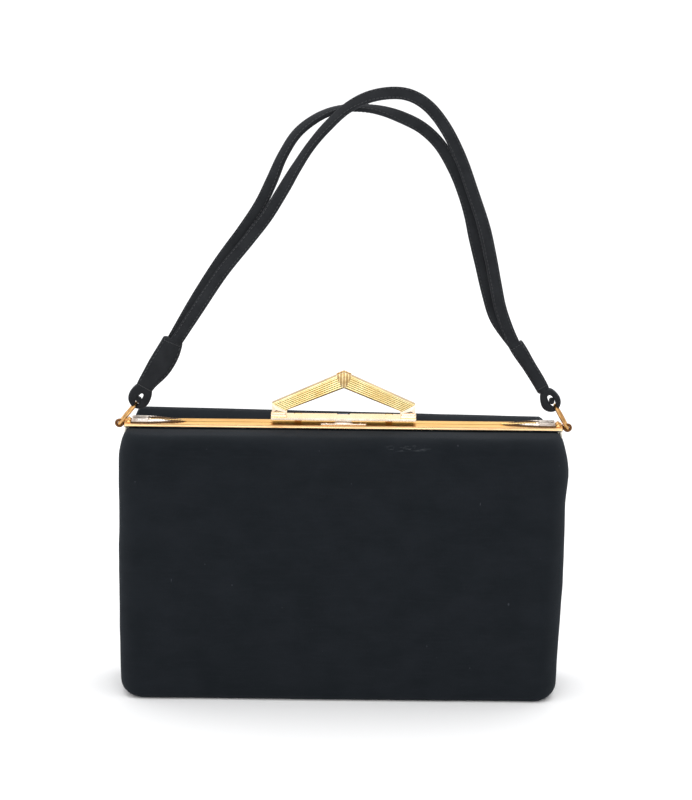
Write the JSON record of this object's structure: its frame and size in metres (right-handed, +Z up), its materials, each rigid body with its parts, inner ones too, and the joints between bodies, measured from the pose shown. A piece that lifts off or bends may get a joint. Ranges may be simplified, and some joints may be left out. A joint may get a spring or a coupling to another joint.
{
  "type": "evening bag",
  "caption": "Boxy fabric evening bag with a hinged metal frame, a chevron bar clasp and a twin-band strap on swivelling rings.",
  "frame": {"origin": "centre of the flat base", "axes": "+Z up, +X to the wearer's right seen from the front, -Y the front face"},
  "size_m": [0.2618, 0.06, 0.3495],
  "materials": {
    "black_cloth": "matte napped black cloth",
    "lining_satin": "soft satin lining",
    "card_board": "raw pulp board",
    "gold_metal": "polished with a fine brushed grain",
    "engraved_silver": "satin, engraved",
    "spring_steel": "drawn wire"
  },
  "bodies": {
    "lower_body": {"lower_cover": "black_cloth", "bottom_board": "card_board", "front_board_lower": "card_board", "rear_board_lower": "card_board", "lining_lower": "lining_satin", "left_hinge_rivet": "gold_metal", "right_hinge_rivet": "gold_metal", "front_flex": "black_cloth", "rear_flex": "black_cloth", "left_front_pleat": "lining_satin", "right_front_pleat": "lining_satin", "left_rear_pleat": "lining_satin", "right_rear_pleat": "lining_satin"},
    "front_jaw": {"front_frame": "gold_metal", "front_cover_upper": "black_cloth", "front_board_upper": "card_board", "front_lining_upper": "lining_satin", "strike_plate": "gold_metal"},
    "rear_jaw": {"rear_frame": "gold_metal", "rear_cover_upper": "black_cloth", "rear_board_upper": "card_board", "rear_lining_upper": "lining_satin", "inner_pocket": "lining_satin", "left_end_plate": "engraved_silver", "right_end_plate": "engraved_silver", "clasp_rod": "gold_metal", "clasp_spring": "spring_steel"},
    "clasp": {"clasp_plate": "gold_metal", "clasp_bar": "gold_metal", "apex_cap": "engraved_silver", "left_post": "gold_metal", "right_post": "gold_metal", "latch_hook": "gold_metal"},
    "strap": {"left_tab": "black_cloth", "right_tab": "black_cloth", "outer_band": "black_cloth", "inner_band": "black_cloth"},
    "left_swivel": {"left_swivel": "gold_metal"},
    "right_swivel": {"right_swivel": "gold_metal"},
    "left_ring": {"left_ring": "gold_metal"},
    "right_ring": {"right_ring": "gold_metal"}
  },
  "joints": [
    {"name": "front_open", "type": "hinge", "parent": "lower_body", "child": "front_jaw", "pos_m": [0, 0, 0.098], "axis": [1, 0, 0], "range_deg": [0, 22], "deforming": ["front_flex", "left_front_pleat", "right_front_pleat"]},
    {"name": "rear_open", "type": "hinge", "parent": "lower_body", "child": "rear_jaw", "pos_m": [0, 0, 0.098], "axis": [1, 0, 0], "range_deg": [-22, 0], "deforming": ["rear_flex", "left_rear_pleat", "right_rear_pleat"]},
    {"name": "clasp_lift", "type": "hinge", "parent": "rear_jaw", "child": "clasp", "pos_m": [0, 0.0056, 0.16005], "axis": [-1, 0, 0], "range_deg": [0, 30], "stiffness_Nm_per_rad": 0.02, "springref_deg": -17.19},
    {"name": "strap_swing", "type": "hinge", "parent": "rear_jaw", "child": "strap", "pos_m": [0, 0.0032, 0.1612], "axis": [1, 0, 0], "range_deg": [-40, 40]},
    {"name": "left_swivel_turn", "type": "hinge", "parent": "rear_jaw", "child": "left_swivel", "pos_m": [-0.1283, 0.0032, 0.155], "axis": [1, 0, 0], "range_deg": [-12, 5]},
    {"name": "right_swivel_turn", "type": "hinge", "parent": "rear_jaw", "child": "right_swivel", "pos_m": [0.1283, 0.0032, 0.155], "axis": [1, 0, 0], "range_deg": [-12, 5]},
    {"name": "left_ring_tilt", "type": "hinge", "parent": "left_swivel", "child": "left_ring", "pos_m": [-0.1283, 0.0032, 0.155], "axis": [0, 1, 0], "range_deg": [-4, 4]},
    {"name": "right_ring_tilt", "type": "hinge", "parent": "right_swivel", "child": "right_ring", "pos_m": [0.1283, 0.0032, 0.155], "axis": [0, 1, 0], "range_deg": [-4, 4]}
  ],
  "couplings": [
    {"joint": "rear_open", "follows": "front_open", "ratio": -1}
  ]
}
